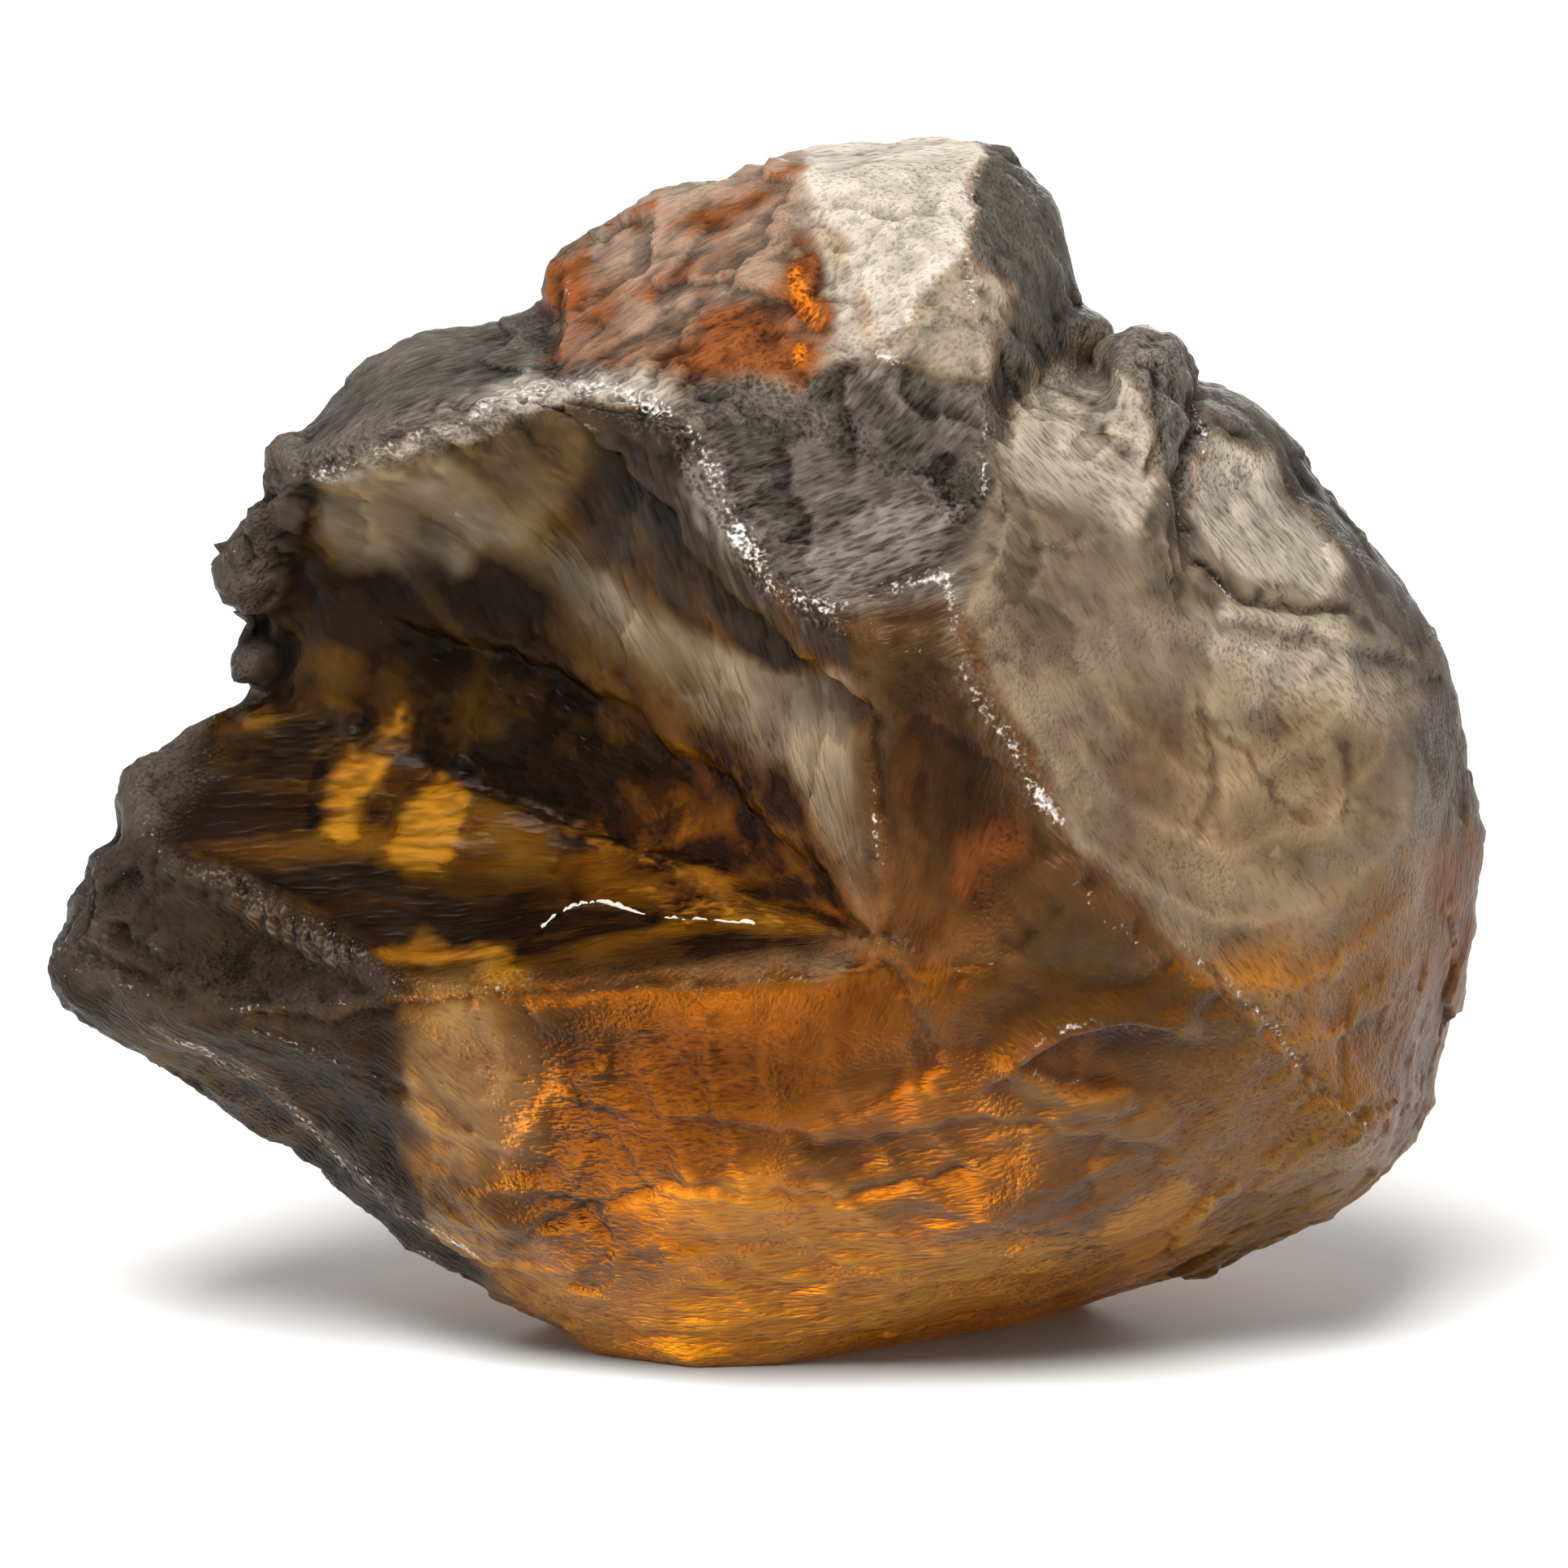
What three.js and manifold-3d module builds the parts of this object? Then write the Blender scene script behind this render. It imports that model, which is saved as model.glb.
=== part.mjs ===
// Rough smoky quartz: one lump of broken crystal, a single solid.
// Millimetres. +X runs along the longest extent, -Y is the show side, +Z is up.
// The origin is the middle of the base, on the flat that the stone rests on.
//
// The lump is made the way a stone breaks. Overlapping blocks, each the hull of its own
// corners, are joined into one blank. Then a great hollow with straight walls is gouged out
// of its left side, with a low step beside the shoulder on its right, and shell-shaped flakes
// are knocked off. Each flake is the bite of a large ellipsoid, which leaves a shallow scar.

import * as THREE from 'three';
import { ConvexGeometry } from 'three/addons/geometries/ConvexGeometry.js';
import { mergeVertices } from 'three/addons/utils/BufferGeometryUtils.js';
import Module from 'manifold-3d';

// Driving dimensions.
const LENGTH = 60;                // along X
const HEIGHT = 50.8;              // above the resting flat
const DEPTH = 42.6;               // along Y
const WALL_OVERSHOOT = 1.6;       // a gouge's walls run this far past its rim, in wall lengths
const BITE_FACETS = 19;           // fineness of a flake's surface, in splits of each edge

const QUARTZ_COLOUR = 0x6b4a26;
const QUARTZ_ROUGHNESS = 0.32;

// Corners are [x, y, z]. The flat that the stone rests on, round its edge.
const REST_FLAT = [
  [-7, -3.5, 0], [-3, -6, 0], [0.5, -5.5, 0], [5.5, -1.5, 0], [10.5, 2.5, 0],
  [13.5, 7, 0], [11, 12, 0], [3, 14.5, 0], [-5, 12, 0], [-8.5, 4, 0],
];

// Belly and back, where the body, the jaw and the lip all run into each other.
const MIDDLE = [
  [-1.5, -15.6, 9.6], [-6.5, -10.5, 4.6], [1.9, -19.4, 19.3],
  [-4, 20.6, 20], [-6, 16, 33], [-2, 18, 4],
];

// Body: the crest down its front, the bulging lower face and the rounded right side.
const BODY = [
  ...REST_FLAT, ...MIDDLE,
  // crest, from its top to the lower right
  [9.2, -13.5, 41.5], [8.6, -17.2, 38], [7.6, -19.4, 34.6], [8.2, -20.8, 31.6],
  [10.4, -DEPTH / 2, 27.8], [13, -21, 24.4], [16.2, -19.4, 21.3], [18.4, -17.6, 18.8],
  [21, -14.5, 15.8], [24.7, -8, 10.7],
  // brow over the hollow, and ledge over the lower face
  [-4.5, -12.4, 41], [-0.8, -16.2, 34.8], [3.4, -18.2, 32], [8.7, -20.2, 19.6],
  // belly of the lower face
  [10.4, -14, 8.4], [17, -9, 6.8], [3.6, -7.6, 2.3],
  // outline of the right side, from the shoulder down
  [15.6, 0, 41.2], [19.2, 1, 39.9], [22.4, 1.5, 37.2], [25.7, 1.5, 33], [27.9, 2, 29.2],
  [29.4, 2, 25], [LENGTH / 2, 1, 20.9], [29.6, 2, 17.4], [28.7, 3, 12.6], [27.6, 2, 9.3],
  [23.6, 1, 5.6], [20.2, 3, 2.7],
  // front of the shoulder
  [16.6, -9, 40], [22.6, -8, 32], [26.5, -8, 24],
  // back
  [12, 12, 38], [20, 13, 29], [23, 12, 20], [21, 13, 9], [6, 19, 32], [9, DEPTH / 2, 21],
  [12, 18, 5],
];

// Jaw: the slab on top of the left side and the knobbly edge that hangs from it.
const JAW = [
  ...MIDDLE,
  // back and front edges of the slab
  [-18, 2, 39.8], [-13, 3, 42.7], [-8.5, 4, 44], [-18.6, -6, 38], [-14.4, -8.5, 40.4],
  [-10.3, -10, 41.9], [-4.5, -12.4, 41],
  // left edge
  [-20.4, -2.5, 38.4], [-22.5, -3, 33.4], [-21.9, -2, 28.5], [-21.9, 5, 29], [-20.6, 6, 36],
  // back
  [-12, 13, 34], [-17, 12, 27],
];

// Lip: the long tongue that juts out to the left below the hollow.
const LIP = [
  ...MIDDLE,
  // outer end, from its shoulder down
  [-20.4, 0, 28.6], [-23.8, -1.5, 26.6], [-26.8, -2.5, 24.8], [-27.2, 4, 22.6],
  [-29.8, -3.5, 16.6], [-LENGTH / 2, 0.5, 17.4], [-28.6, -3, 14.2], [-27.6, 3, 13.6],
  // top of the lip and ledge over the lower face
  [-24.8, -7, 21.8], [-22.2, -9.8, 15.8], [-14.7, -13.4, 17.2], [-6, -17, 18.3],
  // lower left
  [-17.6, -3, 7.8], [-14.2, -3, 5], [-10.3, -3.4, 1.7], [-7, -3.5, 0], [-3, -6, 0],
  [-12, -10.5, 10.4], [-9, -6, 3],
  // back
  [-19, 9, 25], [-21, 9, 16], [-14, 13, 9], [-8.5, 4, 0],
];

// Summit, with the rusty block on its left.
const SUMMIT = [
  // top edge
  [-8.2, -1, 46], [-5, 0, 48.2], [-0.5, 1, 50], [4, 2, 50.5], [7.5, 1.6, HEIGHT],
  [10.3, 1.4, 50.5], [8.9, -1.8, 50.4], [1.2, -2.4, 49.6], [-0.5, 6, 48], [9, 7, 47.5],
  // right cliff
  [11.5, 1, 49], [12.4, 0.5, 46.4], [13.4, -1, 43.2], [13.6, -1.5, 39.4], [14, 3, 39.8],
  // corners of the bright front facet and of the grey one under it
  [8.4, -7.6, 47.2], [4.2, -11.4, 43.8], [10, -9, 44.4], [9.2, -13.5, 41.5],
  // foot, sunk into the blocks below
  [-8.8, -8.2, 41.6], [-4.2, -12.4, 40.8], [-9, 4, 43], [-6, 16, 33], [6, 19, 32],
  [12, 11, 37.6], [11.4, -9, 40], [3, -14, 36], [0, 0, 20],
];

// Shoulder: a low step to the right of the summit.
const SHOULDER = [
  [14, -2, 42.4], [15.8, -1, 42.6], [17.6, 0, 41.8], [14.4, -8, 42.2], [16.8, -9, 40.6],
  [14.5, -12.6, 38], [16.8, -12.6, 35], [14, 3, 39.4], [17.4, 3, 38], [12, -15, 31],
  [17.4, -12, 31], [10, 0, 28],
];

// The hollow that opens to the left. Each stretch of its rim slopes down to one floor corner.
const HOLLOW = [
  { floor: [-12.6, -4.2, 34.6], rim: [[-22.6, -3, 33.4], [-18.6, -6, 37.6], [-14.4, -8.5, 39.6]] },
  { floor: [-8.4, -5.6, 33.2], rim: [[-10.3, -10, 41], [-5.2, -12.2, 39.8], [-2.4, -14.3, 37.4]] },
  { floor: [-2.6, -9.6, 27.6], rim: [[-0.6, -16.2, 34.4], [4, -18.4, 31], [4.6, -19.4, 24.6]] },
  { floor: [-6.5, -7, 22.4], rim: [[4.4, -19.6, 19.8], [-6, -17, 18.5], [-14.7, -13.4, 17.5]] },
  { floor: [-15.5, -2, 26.6], rim: [[-19.6, -10.8, 19.4], [-24.6, -6.6, 22], [-21.8, 1, 28.2]] },
];

// A low step that drops from the shoulder to the pale face on its right.
const STEP = [
  { floor: [18.2, -7.2, 38.4], rim: [[17.4, -8.6, 39.8], [18.6, -3, 41.2]] },
  { floor: [18.6, -10, 33.4], rim: [[18, -10.6, 36.8], [17.2, -11.6, 34.2], [18.4, -12, 32]] },
  { floor: [26.6, -5, 29.4], rim: [[27.4, -8, 28.6], [28.4, -1, 30.4]] },
];

// Flakes knocked off the blank. Each has its deepest point, the way its scar faces, and the
// half-sizes of the ellipsoid that bites it: across, up and along the way it faces. A scar
// that lies aslant is rolled, in degrees, anticlockwise to someone who looks at it.
const FLAKES = {
  charcoal_dish: { deepest: [3.6, -13.9, 37.4], faces: [-0.12, -0.8, 0.6], half: [13, 11, 9] },
  below_crest: {
    deepest: [8.4, -19.6, 25], faces: [-0.3, -0.95, 0], half: [11, 22, 8], roll: 35,
  },
  pale_lens: { deepest: [12.2, -12.4, 38.5], faces: [0.45, -0.68, 0.58], half: [6, 8, 4] },
  right_face: {
    deepest: [20, -12.6, 25], faces: [0.62, -0.74, 0.26], half: [28, 38, 12], roll: 30,
  },
  lip_top: { deepest: [-21.4, -8.4, 18.6], faces: [-0.45, -0.87, 0.21], half: [13, 5, 6] },
  under_lip: { deepest: [-18.6, -6.6, 11.5], faces: [-0.48, -0.6, -0.64], half: [24, 14, 12] },
  back_upper: { deepest: [-7.4, 8.4, 36.2], faces: [-0.23, 0.68, 0.69], half: [32, 26, 12] },
  back_right: { deepest: [12.9, 12.4, 30.7], faces: [0.43, 0.77, 0.47], half: [30, 28, 12] },
  back_left: { deepest: [-12.4, 11.5, 19], faces: [-0.57, 0.82, -0.05], half: [30, 24, 12] },
  back_lower: { deepest: [6, 16.6, 9.7], faces: [0.02, 0.94, -0.34], half: [34, 24, 12] },
};

const wasm = await Module();
wasm.setup();

function vectorOf(corner) {
  return new THREE.Vector3(...corner);
}

function solidOf(geometry) {
  const bare = geometry.clone();
  bare.deleteAttribute('normal');
  bare.deleteAttribute('uv');
  const merged = mergeVertices(bare, 1e-4);
  return new wasm.Manifold(new wasm.Mesh({
    numProp: 3,
    vertProperties: new Float32Array(merged.attributes.position.array),
    triVerts: new Uint32Array(merged.index.array),
  }));
}

function geometryOf(solid) {
  const mesh = solid.getMesh();
  const geometry = new THREE.BufferGeometry();
  geometry.setAttribute('position', new THREE.BufferAttribute(mesh.vertProperties, 3));
  geometry.setIndex(new THREE.BufferAttribute(mesh.triVerts, 1));
  return geometry;
}

function block(corners) {
  return solidOf(new ConvexGeometry(corners.map(vectorOf)));
}

// The hull of a hollow's floor corners and of its walls, which run on past its rim.
function gouge(stretches) {
  const corners = [];
  for (const { floor, rim } of stretches) {
    const bottom = vectorOf(floor);
    corners.push(bottom);
    corners.push(...rim.map((corner) => bottom.clone().lerp(vectorOf(corner), WALL_OVERSHOOT)));
  }
  return solidOf(new ConvexGeometry(corners));
}

function bite({ deepest, faces, half, roll = 0 }) {
  const [across, up, along] = half;
  const way = vectorOf(faces).normalize();
  const centre = vectorOf(deepest).addScaledVector(way, along);
  const side = new THREE.Vector3(0, 0, 1).cross(way).normalize();
  const top = way.clone().cross(side);
  const place = new THREE.Matrix4().makeBasis(side, top, way).setPosition(centre);
  const ellipsoid = new THREE.IcosahedronGeometry(1, BITE_FACETS);
  ellipsoid.scale(across, up, along);
  ellipsoid.rotateZ(THREE.MathUtils.degToRad(roll));
  ellipsoid.applyMatrix4(place);
  return solidOf(ellipsoid);
}

function quartz() {
  let stone = block(BODY);
  for (const corners of [JAW, LIP, SUMMIT, SHOULDER]) {
    stone = stone.add(block(corners));
  }
  for (const stretches of [HOLLOW, STEP]) {
    stone = stone.subtract(gouge(stretches));
  }
  for (const flake of Object.values(FLAKES)) {
    stone = stone.subtract(bite(flake));
  }
  return geometryOf(stone);
}

const material = new THREE.MeshStandardMaterial({
  color: QUARTZ_COLOUR,
  roughness: QUARTZ_ROUGHNESS,
  metalness: 0,
});

const stone = new THREE.Mesh(quartz(), material);
stone.name = 'smoky_quartz';

const part = new THREE.Group();
part.add(stone);

export default part;
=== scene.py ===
"""Rough smoky quartz: a broken lump, frosted on top, brown and see-through below.

Shapes are worked out in millimetres and written to their meshes in metres. Marks on the show
side are placed on the show plane. Across it runs +X. Up it runs a line that leans back, as
the stone is looked at from a little above.
"""

import math

import bmesh
import bpy
import numpy as np
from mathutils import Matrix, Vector, kdtree, noise
from mathutils.bvhtree import BVHTree


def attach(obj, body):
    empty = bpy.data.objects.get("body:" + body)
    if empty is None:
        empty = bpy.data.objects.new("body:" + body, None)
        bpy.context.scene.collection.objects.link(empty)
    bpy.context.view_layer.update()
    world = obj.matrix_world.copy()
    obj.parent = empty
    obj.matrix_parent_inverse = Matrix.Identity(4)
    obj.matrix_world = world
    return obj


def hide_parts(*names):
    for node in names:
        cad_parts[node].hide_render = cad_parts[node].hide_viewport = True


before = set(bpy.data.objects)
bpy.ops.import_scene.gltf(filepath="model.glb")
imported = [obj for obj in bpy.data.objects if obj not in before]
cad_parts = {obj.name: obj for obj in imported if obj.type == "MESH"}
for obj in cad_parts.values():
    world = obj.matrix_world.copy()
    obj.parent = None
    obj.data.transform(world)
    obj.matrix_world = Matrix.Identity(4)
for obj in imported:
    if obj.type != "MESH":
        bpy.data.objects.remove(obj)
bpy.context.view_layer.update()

MM = 0.001
NODE = "smoky_quartz"
BODY = "root"

# The show plane leans back by LEAN, and TO_VIEWER points straight out of it.
LEAN = math.radians(10)
TO_VIEWER = np.array([0, -math.cos(LEAN), math.sin(LEAN)])


# --- small tools ---------------------------------------------------------------------------


# How far, in lumps, each seed shifts the noise.
SEED_SHIFT = 17.3


def ramp(low, high, value):
    """0 below low, 1 above high, and a smooth rise between them."""
    t = np.clip((value - low) / (high - low), 0, 1)
    return t * t * (3 - 2 * t)


def lumps(points, size, octaves=2, seed=0):
    """Smooth noise, about -1 to 1. Its lumps are `size` mm across, or one size for each axis."""
    spots = points / np.array(size) + seed * SEED_SHIFT
    return np.array([noise.fractal(spot, 1.0, 2.0, octaves) for spot in spots.tolist()])


def chips(points, size, seed=0):
    """The height of a face broken into flat chips `size` mm wide, which meet in crisp ridges."""
    height = []
    for spot in (points / size + seed * SEED_SHIFT).tolist():
        _, centres = noise.voronoi(spot)
        planes = []
        for centre in centres:
            tilt = noise.cell_vector(centre) * 2 - Vector((1, 1, 1))
            planes.append((Vector(spot) - centre).dot(tilt) + 0.3 * tilt.x)
        height.append(min(planes))
    return np.array(height)


def terraces(value):
    """Long slopes with a short rise after each, as a break steps up: about -1 to 0."""
    part = value - np.floor(value)
    return ramp(0.82, 1, part) - part


def on_show_plane(points):
    """Where each point falls on the show plane, in mm across and up."""
    return np.column_stack([points[:, 0], points[:, 1:] @ [math.sin(LEAN), math.cos(LEAN)]])


def off_line(spots, line):
    """How far each spot of the show plane is from a bent line, and how far to its left."""
    nearest = np.full(len(spots), np.inf)
    left = np.zeros(len(spots))
    corners = np.array(line)
    for start, end in zip(corners[:-1], corners[1:]):
        run = end - start
        share = np.clip((spots - start) @ run / (run @ run), 0, 1)
        gap = spots - start - share[:, None] * run
        length = np.hypot(gap[:, 0], gap[:, 1])
        side = (run[0] * gap[:, 1] - run[1] * gap[:, 0]) / np.hypot(*run)
        closer = length < nearest
        nearest = np.where(closer, length, nearest)
        left = np.where(closer, side, left)
    return nearest, left


def patch(spots, centre, half, turn=0.0, soft=0.5):
    """1 in an ellipse of the show plane, and 0 well outside it. It is turned anticlockwise."""
    angle = math.radians(turn)
    across = (spots - centre) @ [math.cos(angle), math.sin(angle)] / half[0]
    up = (spots - centre) @ [-math.sin(angle), math.cos(angle)] / half[1]
    return 1 - ramp(1 - soft, 1 + soft, np.hypot(across, up))


def within(spots, outline, soft):
    """1 inside an outline of the show plane and 0 outside it, with a soft edge."""
    away, _ = off_line(spots, outline + outline[:1])
    inside = np.zeros(len(spots), bool)
    u, v = spots.T
    for (u0, v0), (u1, v1) in zip(outline, outline[1:] + outline[:1]):
        if v0 != v1:
            inside ^= ((v0 > v) != (v1 > v)) & (u < u0 + (u1 - u0) * (v - v0) / (v1 - v0))
    return ramp(-soft, soft, np.where(inside, away, -away))


# --- places on the stone -------------------------------------------------------------------

# Lines and spots on the show plane.
CREST = [
    (8.9, 49.6), (8.4, 46.3), (8.2, 44.9), (9.2, 38.5), (8.9, 36.4), (8.4, 34.4), (7.3, 31.7),
    (7.5, 29), (9.2, 25.9), (10.7, 23.5), (12.8, 20.8), (16.2, 17.8), (18.2, 15.9),
    (20.9, 13.3), (24.7, 9.1),
]
RIDGE_BAND = [(-18.5, 36.1), (-14.4, 37.6), (-10.3, 39.3), (-6.3, 39.8), (-3.9, 38.5)]
DISH_RIM = [
    (-3.9, 38.5), (-2.2, 36.1), (-1, 33.4), (0.2, 31.5), (2.2, 30.6), (5, 31.2), (7.3, 31.9),
]
LEDGE = [(-28.7, 16.6), (-21.9, 13.7), (-17.8, 13.4), (-14.7, 14.4), (-5.9, 15.2), (8.7, 16)]
UNDER_LIP = [(-25.3, 13.2), (-20.9, 11), (-17.8, 7.9), (-15.1, 5.5), (-12, 3.8)]

# Cracks: a line and how deep it is. All are about as wide.
CRACK_WIDTH = 0.22
CRACKS = [
    ([(17.5, 26.9), (18.3, 24.4), (18.2, 23), (17.6, 21.2)], 0.14),
    ([(17.9, 26.2), (19.6, 24.4), (20.9, 22.8), (22.6, 21.6)], 0.14),
    ([(23.8, 24.8), (24, 22.8), (23.6, 21.9)], 0.12),
    ([(-9.5, 5), (-4, 7), (3, 6.4), (8, 7.4)], 0.2),
    ([(18.2, 15.9), (22.3, 11.6), (24.7, 9.1)], 0.2),
    ([(17.4, 41), (17.8, 38.2), (17.1, 35), (17.6, 32.4), (19.6, 30.8), (23.6, 30.2)], 0.45),
    ([(15.9, 40.4), (16.3, 38.2), (15.8, 36.2)], 0.3),
    (LEDGE, 0.2),
]

# Low steps: a line, how much higher the face on its left stands, and how far that fades.
STEPS = [
    ([(15, 37.6), (13.1, 38.8), (11.3, 40)], -0.4, 3),
    ([(25, 28.8), (22, 29.6), (18.9, 30.3), (17.2, 32.4)], -0.45, 3.5),
    ([(4.4, 17.1), (-2, 24), (-9, 28.5), (-13, 29.5)], -0.5, 4),
    ([(4.4, 17.1), (-4, 20.4), (-12, 22.6)], 0.4, 3),
    ([(3.3, 27.4), (-1.5, 31), (-5, 35.5), (-8.3, 38.6)], -0.6, 3),
    ([(10.4, 12), (12.1, 13.2), (14.1, 13.7), (16.2, 13.3)], 0.6, 2.2),
    ([(13.9, 10.8), (12.1, 11.1), (10.4, 12)], 0.45, 1.4),
    ([(-2, 9.6), (3, 8.8), (9, 9.8), (15, 8.6)], 0.25, 3),
    (UNDER_LIP, 0.5, 3),
]

# Knobs, notches and fuller places on the outline: a spot, its radius and its height.
KNOBS = [
    ((-20.2, 37.4), 1.3, 0.5), ((-22, 32.2), 2.6, 1.1), ((-21.6, 28.2), 1.6, 0.9),
    ((-21.3, 30.1), 0.9, -0.7), ((-20.9, 35.3), 0.9, -0.5), ((-26.3, 24.6), 1.6, 0.2),
    ((-27.8, 21.6), 1.5, -0.8), ((-29.6, 17.7), 1.2, -0.3), ((-29.2, 14.6), 2.2, 0.5),
    ((-18.8, 7.2), 2.6, -0.4), ((-14.6, 3.6), 3, 0.4), ((25.4, 6.6), 7, 0.7),
    ((30, 19), 11, 0.35), ((25.5, 32), 9, 0.5), ((20.6, 38.6), 4, 0.7), ((16.2, 41.6), 3, 0.7),
    ((13.4, 42), 1.5, 1.0), ((12.4, 46), 4.5, 0.5), ((-15.5, 41.8), 5.5, 0.8),
    ((-8.8, 44.6), 2.4, 0.6), ((-5, 47.6), 5, 0.4),
]

# Where the break is rougher than elsewhere, or smoother: an ellipse of the show plane (its
# middle, half-sizes and turn in degrees), and how much rougher.
RUGGED = [
    ((-2.5, 43.6), (6.4, 3.8), 10, 0.6), ((19, 22), (11, 12), 0, -0.75),
    ((-14, 40.5), (6.4, 3), 25, -0.5), ((3, 7), (16, 8), 0, -0.45),
    ((-22, 14), (11, 9), -30, -0.7),
]

# Blows that knocked a flake off. Ripples run out from the blow, over the scar: the blow, the
# middle of the scar and its reach on (x, y, z), and the spacing of the ripples.
BLOWS = [
    ((13, -20, 15), (4, -16, 8), 15, 2.6), ((-12, -12, 15), (-9, -11, 9), 9, 2.2),
    ((16, -9, 33), (20, -12.6, 24), 13, 2.8),
    ((7, 2, 50), (-7.4, 8.4, 36), 17, 2.8), ((14, 6, 42), (13, 12.4, 30), 14, 2.6),
    ((-24, 4, 22), (-12.4, 11.5, 19), 15, 2.4), ((9, 20, 20), (6, 16.6, 9), 14, 2.4),
    ((-22, -4, 13), (-18.6, -6.6, 10), 10, 1.8), ((29, 4, 22), (26, 5, 12), 13, 2.5),
]

# Which way the grain of the break runs: a spot on the stone, and its angle on the show plane.
GRAIN = [
    ((4, -9, 46), 62), ((6, -12, 42), 50), ((-4, -6, 45), 35), ((-14, -6, 39), 20),
    ((11, -6, 45), 75), ((3, -15, 37), 22), ((12.6, -13, 38), -48), ((15.5, -5, 41), 60),
    ((21, -8, 35), -50), ((24, -9, 28), -35), ((17, -15, 27), -52), ((14, -18, 22), -48),
    ((21, -13, 19), -44), ((24, -8, 12), -48), ((-2, -13, 30), -38), ((-13, -5, 33), -20),
    ((-16, -4, 27), 40), ((-7, -10, 21), -16), ((5, -17, 24), 70), ((-22, -6, 18), -28),
    ((-15, -8, 9), -36), ((-5, -14, 10), 6), ((6, -15, 8), 6), ((14, -13, 10), 6),
    ((0, -8, 2), 6), ((22, -6, 5), 28), ((-21, 0, 33), 80), ((-25, 1, 24), 70), ((28, 3, 20), 80),
    ((-6, 10, 40), -30), ((10, 13, 32), 40), ((-12, 12, 22), -15), ((6, 18, 12), 20),
    ((20, 10, 16), 60), ((-8, 8, 4), 5), ((4, 4, 48), 15), ((22, 2, 38), -50),
]

# The point that the hollow's facets fan out from, and the hollow's outline on the show plane.
APEX = (4.5, 17.1)
HOLLOW = [
    (-20.4, 36.6), (-15, 37), (-8, 39), (-4, 38), (0.2, 31.5), (4, 29), (4.8, 16.4),
    (-14.4, 14.9), (-24.9, 20.8), (-22.5, 26.5),
]


def grain_of(places):
    """Each point's place along the grain of its own face, across it and in depth.

    It gives the same for the next face, how large the first one's share in the point is, and
    how near the point is to the seam between two faces, where the grain breaks off.
    """
    seats = np.array([seat for seat, _ in GRAIN])
    angles = np.radians([angle for _, angle in GRAIN])
    stirred = places + 1.2 * np.column_stack([lumps(places, 3, 1, seed) for seed in (1, 2, 3)])
    gaps = np.linalg.norm(stirred[:, None] - seats, axis=2)
    order = np.argsort(gaps, axis=1)[:, :2]
    near, far = np.take_along_axis(gaps, order, axis=1).T
    share = 0.5 + 0.5 * ramp(0, 2.5, far - near)
    x, y, z = places.T
    across, up = (on_show_plane(places) - APEX).T
    fan = np.column_stack([0.4 * np.hypot(across, up), 6 * np.arctan2(up, -across), 0.5 * y])
    hollow = (within(on_show_plane(places), HOLLOW, 0.01) > 0.5) & (y < 8)
    rim, _ = off_line(on_show_plane(places), HOLLOW + HOLLOW[:1])
    seam = np.where(hollow, 0, 1 - ramp(0.7, 1.8, far - near))
    seam = np.maximum(seam, np.where(y < 8, 1 - ramp(0.35, 0.9, rim), 0))
    both = []
    for angle in (angles[order[:, 0]], angles[order[:, 1]]):
        turned = np.column_stack([
            x * np.cos(angle) + z * np.sin(angle), z * np.cos(angle) - x * np.sin(angle), y,
        ])
        both.append(np.where(hollow[:, None], fan, turned))
    return both[0], both[1], np.where(hollow, 1, share), seam


# --- the stone's shape ---------------------------------------------------------------------

REMESH_CELL = 0.27
RIDGE_ANGLE = math.radians(24)
TRIANGLES = 190_000

# Where the lower face runs on with no ridge: an ellipse of the show plane.
EVEN = ((-1, 6), (13, 7.5), 0, 0.05)


def copy_of_cad():
    """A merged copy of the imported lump, and points along the ridges that its faces meet in."""
    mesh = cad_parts[NODE].data.copy()
    piece = bpy.data.objects.new("smoky_quartz_stone", mesh)
    bpy.context.scene.collection.objects.link(piece)
    bm = bmesh.new()
    bm.from_mesh(mesh)
    bmesh.ops.remove_doubles(bm, verts=bm.verts, dist=1e-3 * MM)
    ridges = []
    for edge in bm.edges:
        if edge.is_convex and edge.calc_face_angle(0) > RIDGE_ANGLE:
            start, end = [vert.co / MM for vert in edge.verts]
            steps = max(1, round((end - start).length / 0.3))
            ridges += [start.lerp(end, step / steps) for step in range(steps + 1)]
    bm.to_mesh(mesh)
    bm.free()
    mesh.materials.clear()
    ridges = np.array(ridges)
    smooth_here = (patch(on_show_plane(ridges), *EVEN) > 0.5) & (ridges[:, 1] < 0)
    return piece, ridges[~smooth_here | (ridges[:, 2] < 0.1)]


def apply_modifiers(piece):
    """Gives the piece the mesh that its modifiers make, and drops them."""
    evaluated = piece.evaluated_get(bpy.context.evaluated_depsgraph_get())
    mesh = bpy.data.meshes.new_from_object(evaluated)
    piece.modifiers.clear()
    piece.data = mesh


def read(mesh):
    """The places of a mesh's points in mm, and their normals."""
    places = np.empty(len(mesh.vertices) * 3)
    mesh.vertices.foreach_get("co", places)
    normals = np.empty(len(mesh.vertices) * 3)
    mesh.vertex_normals.foreach_get("vector", normals)
    return places.reshape(-1, 3) / MM, normals.reshape(-1, 3)


def off_ridges(places, ridges):
    """How far each point is from the nearest ridge, in mm."""
    tree = kdtree.KDTree(len(ridges))
    for index, spot in enumerate(ridges):
        tree.insert(spot, index)
    tree.balance()
    return np.array([tree.find(place)[2] for place in places.tolist()])


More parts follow.
